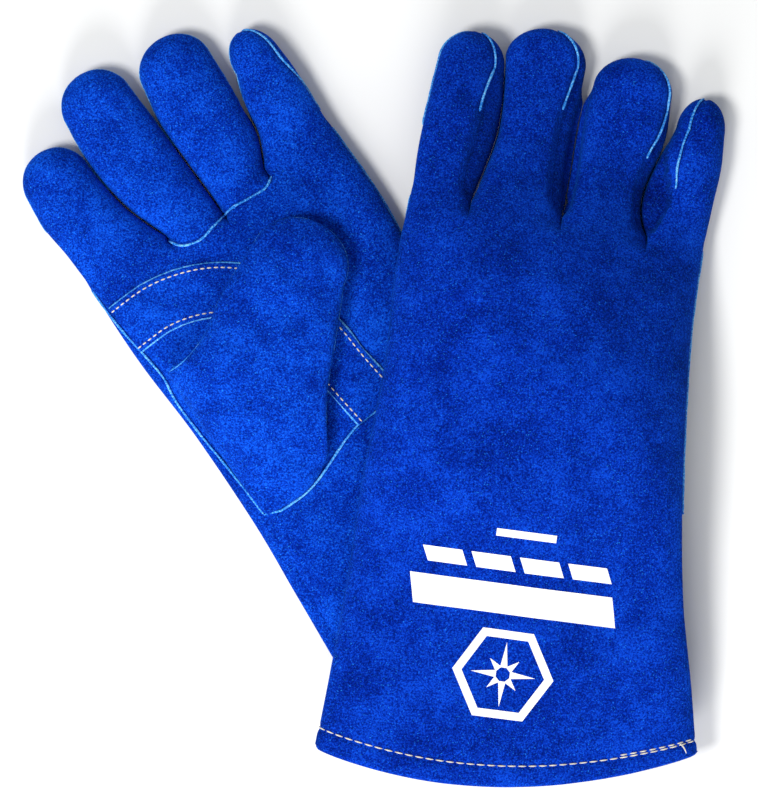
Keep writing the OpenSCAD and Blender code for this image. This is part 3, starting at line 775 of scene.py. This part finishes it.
def rows_between(start, end):
    """Rows of a hand panel, closer together toward the knuckles."""
    steps = mm(*np.concatenate([np.arange(-240, -30, 3.0), np.arange(-30, -14, 1.6),
                                np.arange(-14, 0.1, 0.7)]))
    inside = steps[(steps > start + 1 * MM) & (steps < end - 0.3 * MM)]
    return np.concatenate([[start], inside, [end]])


def hem_relief(g, grid, inner, y):
    """The hem is a little fuller below its stitch row, and pulled in along it."""
    up = (y - HEM[g][0])[:, None]
    lift = 0.35 * MM * smooth((HEM_STITCH_UP - up) / (2.5 * MM)) - 0.4 * MM * np.exp(
        -((up - HEM_STITCH_UP) / (1.1 * MM)) ** 2)
    return grid - unit(inner - grid) * lift[..., None]


def hand_panel(name, g, start, end, on_top, edges):
    y = rows_between(start, end)
    if start == HEM[g][0]:
        y = np.unique(np.concatenate([y, HEM[g][0] + mm(*np.arange(0, 12, 0.8))]))
    outer, inner = hand_grid(g, y, on_top), hand_grid(g, y, on_top, LEATHER_T)
    if start == HEM[g][0]:
        outer = hem_relief(g, outer, inner, y)
    fade = 1 - smooth((y[:, None] + 8 * MM) / (8 * MM)) if end == 0 else 1.0
    outer = seam_dip(outer, inner, edges, fade)
    if end == 0 and on_top == (g == LEFT):
        near = distance_to(GUNN_LINE, outer[..., 0], outer[..., 1])
        outer = outer + unit(inner - outer) * (GUNN_DIP * np.exp(-(near / (1.4 * MM)) ** 2))[..., None]
    return shell(name, to_world(g, outer), to_world(g, inner), [BLUE[g]])


def hand_panels(g, side):
    palm_on_top = g == LEFT
    hem = HEM[g][0]
    back = hand_panel(f"{side}_back_leather", g, hem, 0.0, not palm_on_top, ("first", "last"))
    palm = hand_panel(f"{side}_palm_leather", g, WRIST_Y, 0.0, palm_on_top, ("first", "last", "start"))
    cuff = hand_panel(f"{side}_cuff_leather", g, hem, WRIST_Y, palm_on_top, ("first", "last", "end"))
    for obj, node in ((back, "back_panel"), (palm, "palm_panel"), (cuff, "cuff_front")):
        settle(obj, f"{side}_hand", f"{side}_{node}")


def settle(obj, body, node):
    """Rides a finished piece on its body."""
    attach(obj, body)
    finish_as(node)


def finish_as(node):
    """Hides the CAD node that a piece stands for."""
    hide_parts(node)


def mouth_rings(g, y, off):
    """Closed rings of points round the hand and cuff, one for each row."""
    top, low = hand_grid(g, y, True, off), hand_grid(g, y, False, off)
    return np.concatenate([top, low[:, 1:-1]], axis=1)


def cuff_hem(g, side):
    """The turned edge: round the rim and back up inside the cuff."""
    hem = HEM[g][0]
    rim = [(0.4 * MM, -0.3 * MM)]
    for angle in np.radians(np.linspace(80, -80, 9)):
        rim.append((-HEM_T / 2 * math.cos(angle) * 0.75, HEM_T / 2 * (1 - math.sin(angle))))
    rim += [(1.5 * MM, HEM_T), (4 * MM, HEM_T), (HEM_DEPTH, HEM_T)]
    outer, inner = [], []
    for up, off in rim:
        outer.append(mouth_rings(g, np.array([hem + up]), off))
        up, off = max(up, 0.2 * MM) + 0.3 * MM, min(max(off, LEATHER_T), HEM_T - LEATHER_T * 0.8)
        inner.append(mouth_rings(g, np.array([hem + up]), off))
    outer, inner = np.concatenate(outer), np.concatenate(inner)
    obj = shell(f"{side}_turned_hem", to_world(g, outer), to_world(g, inner), [BLUE[g]], closed=True)
    settle(obj, f"{side}_hand", f"{side}_cuff_hem")


def linings(g, side):
    for name, start, end, material, slot in (
            ("cuff_lining", HEM[g][0] + 2.5 * MM, WRIST_Y, CANVAS, "canvas"),
            ("hand_lining", WRIST_Y, -2.0 * MM, FLEECE, "fleece")):
        rows = rows_between(start, end)[::2]
        obj = sheet(f"{side}_{name}_cloth", g, lambda off: mouth_rings(g, rows, off),
                    (LINING_OFF, LINING_OFF + LINING_T), [material], True)
        settle(obj, f"{side}_hand", f"{side}_{name}")


def hand_welts(g, side):
    """Piping in the index and little side seams, the wrist seam and the gunn seam."""
    y = np.linspace(WRIST_Y + 0.3 * MM, -1 * MM, 150)
    wrist = np.array([WRIST_Y])
    gunn = spline(GUNN_LINE, 90)
    gunn = np.column_stack([gunn, skin_height(g, gunn[:, 0], gunn[:, 1], g == LEFT)])
    inward = np.array([0, 0, -1 if g == LEFT else 1])
    welts = (piping(g, lambda off: place(g, 0, y, index_turn(g, y), off), SIDE_STAND, 0),
             piping(g, lambda off: place(g, 3, y, np.full(len(y), 2.0), off), SIDE_STAND, 3),
             piping(g, lambda off: hand_grid(g, wrist, g == LEFT, off)[0], WRIST_STAND),
             piping(g, lambda off: gunn + inward * off, GUNN_STAND))
    obj = tube(f"{side}_hand_piping", *zip(*welts), [WELT])
    settle(obj, f"{side}_hand", f"{side}_hand_welts")


# ---------------- fingers

FINGER_ROWS = 46
CAP_ROWS = 18
FINGER_COLS = 30
STALL_COLS = 61
LINING_START = 1 * MM
WALL_SHADE_FROM = 0.04  # share of the wall from which it takes the darker suede, painted shade


def finger_rows(g, f, start=0.0):
    straight = FINGER_LEN[g][f] - TIP_ROUND
    t = np.linspace(0, 1, FINGER_ROWS)
    past = np.sin(np.linspace(0, TIP_ROW_END, CAP_ROWS) * math.pi / 2)
    return np.concatenate([mix(start, straight, t), straight + TIP_ROUND * past[1:]])


def finger_seams(g, f, y):
    """Turns of a finger's two seams: the index side one, then the little side one."""
    drop = (0.1 if g == LEFT else 0.4) * smooth(y / (12 * MM))
    seams = [-drop, 2.0 + drop]
    if (g, f) == (RIGHT, 0):
        seams[0] = 0.08 * drop
    if (g, f) == (LEFT, 3):
        seams[1] = 2.0 - 0.42 * smooth((y - 12 * MM) / (26 * MM))
    if (g, f) in FINGER_SEAMS:
        which, line = FINGER_SEAMS[g, f]
        straight = FINGER_LEN[g][f] - TIP_ROUND
        row = np.minimum(y, straight)
        xa, xb, _, _ = strip_sides(g, f, row)
        k = turn_of(between(curve(line, row), xa, xb), rounder(SIDE_ROUND[g][which], y - straight))
        seams[which] = 2.0 - k if which else k
    return seams


def finger_grid(g, f, y, first, last, off=0.0, cols=FINGER_COLS):
    # the columns are closer together next to the seams
    t = (1 - np.cos(np.linspace(0, math.pi, cols))) / 2
    t = mix(np.linspace(0, 1, cols), t, 0.6)[None, :]
    turns = mix(first[:, None], last[:, None], t)
    return place(g, f, y[:, None], turns, off)


def bend(obj, g, side, name, at, end):
    """Bakes a piece's placement into its mesh; the piece is not bent. The finger or thumb and the two
    points of the glove frame that it is given are not used.
    """
    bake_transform(obj)


def bend_finger(obj, g, side, f, part):
    """Bakes a finished piece of finger f in place, unbent, and hides the CAD node that it stands for."""
    middle = sum(a[0, 1] for a in FINGER_SIDES[g][f]) / 2
    bend(obj, g, side, FINGERS[f], (middle, 0.0, 0.0), (middle, BEND_LEN, 0.0))
    finish_as(f"{side}_{FINGERS[f]}_{part}")


def finger_panels(g, side, f):
    y = finger_rows(g, f)
    index_seam, little_seam = finger_seams(g, f, y)
    fade = smooth(y[:, None] / (6 * MM))
    upper, lower = ("front", "back") if g == LEFT else ("back", "front")
    for part, first, last in ((upper, index_seam, little_seam), (lower, little_seam, index_seam + 4)):
        outer, inner = (finger_grid(g, f, y, first, last, off) for off in (0.0, LEATHER_T))
        xa, xb, _, _ = strip_sides(g, f, np.minimum(y, FINGER_LEN[g][f] - TIP_ROUND)[:, None])
        across = between(outer[..., 0], xa, xb)
        # the upper part of the sunk wall beyond a visible seam is marked for the darker suede: painted
        # shade
        high = outer[..., 2] > bed(g, outer[..., 0], outer[..., 1]) + 0.5 * (1 - TOP_SHARE) * FINGER_T
        wall = ((wall_share(g, f, across, y[:, None]) > WALL_SHADE_FROM) & high).astype(int)
        outer = seam_dip(outer, inner, ("first", "last"), fade)
        obj = shell(f"{side}_{FINGERS[f]}_{part}_leather", to_world(g, outer), to_world(g, inner),
                    [BLUE[g], PAINTED_SHADE_SUEDE], wall=wall)
        bend_finger(obj, g, side, f, part)


def finger_piping(g, side, f):
    starts = [WELT_FROM, WELT_FROM]
    if (g, f) in WELT_START:
        which, begin = WELT_START[g, f]
        starts[which] = begin
    welts = []
    for which, begin in enumerate(starts):
        rows = finger_rows(g, f, begin)[:-2]
        turn = finger_seams(g, f, rows)[which]
        shows = (g, f) in FINGER_SEAMS and FINGER_SEAMS[g, f][0] == which
        stand = SHOWN_STAND if shows else FINGER_STAND
        welts.append(piping(g, lambda off: place(g, f, rows, turn, off), stand, f))
    obj = tube(f"{side}_{FINGERS[f]}_piping", *zip(*welts), [WELT])
    bend_finger(obj, g, side, f, "welt")


def finger_lining(g, side, f):
    rows = finger_rows(g, f, LINING_START)
    first, last = np.full(len(rows), 0.0), np.full(len(rows), 4.0)
    obj = sheet(f"{side}_{FINGERS[f]}_lining_cloth", g,
                lambda off: finger_grid(g, f, rows, first, last, off, STALL_COLS)[:, :-1],
                (STALL_LINING_OFF, STALL_LINING_OFF + LINING_T), [FLEECE], True)
    bend_finger(obj, g, side, f, "lining")


# ---------------- thumb and strap

WING_END = -8 * MM
THUMB_COLS = 44
THUMB_CAP_ROWS = 20
THUMB_LINING_COLS = 33
OPEN_ROWS = 14  # rows of the thumb's front before its lining begins
THUMB_SEAM = 0.12  # how far the seams' turn lies below the sides
UNDER_START = -4 * MM


def thumb_grid(g, n, first, last, off=0.0, cols=THUMB_COLS):
    t = np.linspace(0, 1, cols)[None, :]
    return thumb_place(g, n[:, None], mix(first, last, t), off)


def thumb(g, side):
    c, s = math.cos(THUMB_TURN), math.sin(THUMB_TURN)
    along = np.array([-s, c, 0.0])
    at = np.array([*THUMB_AT, 0.0]) + along * WING_END
    end = at + along * THUMB_BEND_LEN
    straight = THUMB_LEN - THUMB_ROUND
    cap = straight + THUMB_ROUND * np.sin(np.linspace(0, TIP_ROW_END, THUMB_CAP_ROWS)[1:] * math.pi / 2)
    wing_rows = np.linspace(WING_TIP[0] + 0.5 * MM, WING_END, 24)
    rows = np.concatenate([np.linspace(WING_END, straight, 64), cap])
    under_rows = np.concatenate([np.linspace(UNDER_START, straight, 56), cap])
    seam = THUMB_SEAM

    def panel(name, its_rows, first, last, depth):
        return sheet(f"{side}_thumb_{name}_leather", g,
                     lambda off: thumb_grid(g, its_rows, first, last, off), (0, depth), [BLUE[g]])

    wing = panel("wing", wing_rows, 0, 2, LEATHER_T * 0.5)
    settle(wing, f"{side}_hand", f"{side}_thumb_base")
    front = panel("front", rows, -seam, 2 + seam, LEATHER_T)
    back = panel("back", under_rows, 2 + seam, 4 - seam, LEATHER_T)
    welts = []
    for turn, near_fold, begin in ((-seam, 0.1, 0.5 * MM), (2 + seam, 2 + seam, 10 * MM)):
        welt_rows = np.concatenate([np.linspace(begin, straight, 80), cap[:-2]])
        turns = mix(near_fold, turn, smooth(welt_rows / (26 * MM)))
        welts.append(piping(g, lambda off: thumb_place(g, welt_rows, turns, off), THUMB_STAND))
    welt = tube(f"{side}_thumb_piping", *zip(*welts), [WELT])
    lining = sheet(f"{side}_thumb_lining_cloth", g,
                   lambda off: thumb_grid(g, rows[OPEN_ROWS:], 0, 4, off, THUMB_LINING_COLS)[:, :-1],
                   (LINING_OFF, LINING_OFF + LINING_T), [FLEECE], True)
    for obj, slot, node in ((front, "leather", "front"), (back, "leather", "back"),
                            (welt, "welt_leather", "welt"), (lining, "fleece", "lining")):
        bend(obj, g, side, "thumb", at, end)
        finish_as(f"{side}_thumb_{node}")


def strap_points(shift, n):
    """Line of points along the strap, shift metres to the side of its middle."""
    line = spline(STRAP_LINE, n)
    along = unit(np.gradient(line, axis=0))
    return line + np.column_stack([-along[:, 1], along[:, 0]]) * np.asarray(shift).reshape(-1, 1)


def palm_strap(g, side):
    n = 120
    half = STRAP_W / 2
    edge = half - mm(0, 0.55, 1, 1.7)
    shifts = np.concatenate([-edge, np.linspace(-edge[-1], edge[-1], 14)[1:-1], edge[::-1]])
    grids = []
    for lift, top in ((STRAP_LIFT + STRAP_T, 1), (STRAP_LIFT, 0)):
        columns = []
        for w in shifts:
            inset = half - abs(w)
            p = strap_points(w, n)
            worn = 0.22 * MM * np.sin(np.arange(n) * 0.31 + w / MM) * (inset < 0.5 * MM)
            bevel = 0.55 * MM * (1 - smooth(inset / (0.9 * MM)))
            pulled = 0.35 * MM * math.exp(-((inset - STRAP_STITCH_IN) / (0.9 * MM)) ** 2)
            columns.append(on_palm(g, p[:, 0] + worn, p[:, 1], lift - top * (bevel + pulled)))
        grids.append(np.stack(columns, 1))
    obj = shell(f"{side}_strap_leather", to_world(g, grids[0]), to_world(g, grids[1]),
                [BLUE[g], RAW_EDGE], trim=1)
    settle(obj, f"{side}_hand", f"{side}_palm_strap")


# ---------------- stitches


def stitch_row(points, up, dash, pitch):
    """Paths of a row of stitches along a line of points, each a low arch; up points off the skin."""
    walked = np.concatenate([[0], np.cumsum(np.linalg.norm(np.diff(points, axis=0), axis=1))])
    paths = []
    for start in np.arange(0, walked[-1] - dash, pitch):
        at = start + np.linspace(0, dash, 7)
        p = np.column_stack([np.interp(at, walked, points[:, i]) for i in range(3)])
        q = np.column_stack([np.interp(at, walked, up[:, i]) for i in range(3)])
        arch = np.sin(np.linspace(0, math.pi, 7)) ** 0.5 * STITCH_RISE - STITCH_SUNK
        paths.append(p + q * arch[:, None])
    return paths


def hem_stitches(g):
    """The hem's row, which is sewn twice where it begins, with the thread's end left standing."""

    def skin_and_up(row, on_top):
        skin, inside = (hand_grid(g, np.array([row]), on_top, off)[0] for off in (0.0, LEATHER_T))
        return skin, -unit(inside - skin)

    paths = []
    for on_top in (True, False):
        skin, up = skin_and_up(HEM[g][0] + HEM_STITCH_UP, on_top)
        paths += stitch_row((skin - up * 0.1 * MM)[3:-3], up[3:-3], *HEM_STITCH)
    skin, up = skin_and_up(HEM[g][0] + HEM_AGAIN_UP, True)
    span = slice(len(skin) * 3 // 4, -4)
    paths += stitch_row(skin[span], up[span], *AGAIN_STITCH)
    tail = np.column_stack([np.linspace(0, 4, 9), -np.linspace(0, 1.9, 9) ** 2,
                            0.5 + 0.9 * np.sin(np.linspace(0, 2.6, 9))]) * MM
    return paths + [skin[-12] + tail]


def strap_stitches(g):
    lift = STRAP_LIFT + STRAP_T
    paths = []
    for shift in (STRAP_W / 2 - STRAP_STITCH_IN, STRAP_STITCH_IN - STRAP_W / 2):
        line = strap_points(shift, 240)
        skin = on_palm(g, line[:, 0], line[:, 1], lift - 0.15 * MM)
        up = on_palm(g, line[:, 0], line[:, 1], lift + 1 * MM) - skin
        paths += stitch_row(skin, unit(up), *STRAP_STITCH)
    return paths


def stitching(g, side):
    paths = hem_stitches(g) + strap_stitches(g)
    radii = []
    for path in paths:
        swell = np.sin(np.linspace(0.1, math.pi - 0.1, len(path)))
        radii.append(THREAD_R * np.sqrt(np.clip(swell, 0.05, 1)))
    obj = tube(f"{side}_thread", [to_world(g, path) for path in paths], radii, [THREAD], sides=6)
    settle(obj, f"{side}_hand", f"{side}_stitching")


# ---------------- print on the right cuff


PRINT_AT = mm(10, -172)
PRINT_TURN = math.radians(3)
PRINT_TOP, PRINT_BASE = 0.12 * MM, -0.25 * MM  # its two faces, above the skin
PRINT_CELL = 1.4 * MM
# the sign's middle, and its radii in millimetres: the hexagon's and the spark's
SIGN_AT = mm(0, -26)
HEXAGON_R = (22, 18)
SPARK_R = (3, 9, 14)
SPARK_W = 1.6
# bars in millimetres: middle x and y, width, height and slant
BARS = ((2, 35, 26, 3.2, 0), *((-31.5 + 21 * i, 22, 17, 6.5, 1.5) for i in range(4)),
        (0, 6.5, 88, 13, 1.5))


def print_shapes():
    """Four corners of each white shape: bars, and a spark in a hexagon."""
    shapes = []
    for x, y, w, h, slant in BARS:
        corners = np.array([(-w / 2 + slant, -h / 2), (w / 2 + slant, -h / 2),
                            (w / 2 - slant, h / 2), (-w / 2 - slant, h / 2)]) * MM
        shapes.append(corners + np.array([x, y]) * MM)
    wide, narrow = HEXAGON_R
    hexagon = [np.array([math.cos(a), math.sin(a)]) for a in np.arange(7) * math.pi / 3]
    for a, b in zip(hexagon, hexagon[1:]):
        shapes.append(np.array([a * wide, b * wide, b * narrow, a * narrow]) * MM + SIGN_AT)
    core, short, long = SPARK_R
    for i in range(8):
        reach = long if i % 2 == 0 else short
        tip = np.array([math.cos(i * math.pi / 4), math.sin(i * math.pi / 4)])
        side = np.array([-tip[1], tip[0]])
        foot, end = tip * core, tip * reach
        ray = np.array([foot - side * SPARK_W, end, end + side * 0.01, foot + side * SPARK_W])
        shapes.append(ray * MM + SIGN_AT)
    return shapes


def cuff_print():
    """A plain white print on the back of the right cuff, one thin plate for each shape."""
    c, s = math.cos(PRINT_TURN), math.sin(PRINT_TURN)
    points, faces = [], []
    for shape in print_shapes():
        cells = 2 + int(np.linalg.norm(shape[1] - shape[0]) / PRINT_CELL)
        t = np.linspace(0, 1, cells)
        low_edge = (shape[0] + (shape[1] - shape[0]) * t[:, None])[:, None]
        high_edge = (shape[3] + (shape[2] - shape[3]) * t[:, None])[:, None]
        p = low_edge * (1 - t)[None, :, None] + high_edge * t[None, :, None]
        x = PRINT_AT[0] + p[..., 0] * c - p[..., 1] * s
        y = PRINT_AT[1] + p[..., 0] * s + p[..., 1] * c
        z = skin_height(RIGHT, x, y, True)
        base = sum(len(q) for q in points)
        points += [np.stack([x, y, z + h], -1).reshape(-1, 3) for h in (PRINT_TOP, PRINT_BASE)]
        n = cells * cells
        for i in range(cells - 1):
            for j in range(cells - 1):
                a = base + i * cells + j
                quad = (a, a + cells, a + cells + 1, a + 1)
                faces.append(quad)
                faces.append(tuple(v + n for v in quad[::-1]))
        grid = np.arange(n).reshape(cells, cells) + base
        rim = [*grid[:-1, 0], *grid[-1, :-1], *grid[:0:-1, -1], *grid[0, :0:-1]]
        for a, b in zip(rim, rim[1:] + rim[:1]):
            faces.append((b, a, a + n, b + n))
    points = np.concatenate(points)
    if volume(points, faces) < 0:
        faces = [f[::-1] for f in faces]
    obj = add_object("right_cuff_print", to_world(RIGHT, points), faces, [PRINT])
    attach(obj, "right_hand")


# ---------------- build

for g, side in enumerate(SIDES):
    hand_panels(g, side)
    cuff_hem(g, side)
    linings(g, side)
    hand_welts(g, side)
    for f in range(4):
        finger_panels(g, side, f)
        finger_piping(g, side, f)
        finger_lining(g, side, f)
    thumb(g, side)
    palm_strap(g, side)
    stitching(g, side)
cuff_print()

# ---------------- floor, light and camera


FLOOR_HALF = 6.0
FLOOR_DROP = 0.2 * MM
SKY_STRENGTH = 0.42
# softboxes that face the pair: place, diameter, watts and colour
SOFTBOXES = {"key": ((-0.7, -0.3, 1.35), 0.5, 18, (1, 0.99, 0.97)),
             "front": ((-0.1, -1.25, 0.62), 0.7, 18, (1, 0.99, 0.98))}
CAMERA_DISTANCE = 1.6
FRAME_H = 0.3492  # height that the camera frames, at the middle of the pile
PAIR_MIDDLE = (2.3 * MM, 1.3 * MM, 18 * MM)
SENSOR = 36


def stage_floor():
    mesh = bpy.data.meshes.new("floor")
    corners = [(-1, -1), (1, -1), (1, 1), (-1, 1)]
    points = [(x * FLOOR_HALF, y * FLOOR_HALF, -FLOOR_DROP) for x, y in corners]
    mesh.from_pydata(points, [], [(0, 1, 2, 3)])
    material, _, shader = new_material("floor_white")
    set_inputs(shader, Base_Color=(0.84, 0.845, 0.84, 1), Roughness=1, Specular_IOR_Level=0)
    mesh.materials.append(material)
    floor = bpy.data.objects.new("floor", mesh)
    bpy.context.scene.collection.objects.link(floor)


def softbox(name, at, size, power, color):
    light = bpy.data.lights.new(name, "AREA")
    light.shape = "DISK"
    light.size = size
    light.energy = power
    light.color = color
    obj = bpy.data.objects.new(name, light)
    obj.location = at
    obj.rotation_mode = "QUATERNION"
    obj.rotation_quaternion = (-Vector(at)).to_track_quat("-Z", "Y")
    bpy.context.scene.collection.objects.link(obj)


def lights():
    world = bpy.data.worlds.new("studio")
    world.use_nodes = True
    set_inputs(world.node_tree.nodes["Background"], Color=(0.93, 0.96, 1, 1), Strength=SKY_STRENGTH)
    bpy.context.scene.world = world
    for name, settings in SOFTBOXES.items():
        softbox(name, *settings)


def camera():
    """Straight above, with a long lens that frames the pair."""
    data = bpy.data.cameras.new("camera")
    data.sensor_width = SENSOR
    data.lens = SENSOR * CAMERA_DISTANCE / FRAME_H
    data.clip_end = 20
    obj = bpy.data.objects.new("camera", data)
    x, y, z = PAIR_MIDDLE
    obj.location = (x, y, z + CAMERA_DISTANCE)
    bpy.context.scene.collection.objects.link(obj)
    bpy.context.scene.camera = obj


stage_floor()
lights()
camera()
bpy.context.scene.view_settings.view_transform = "Standard"
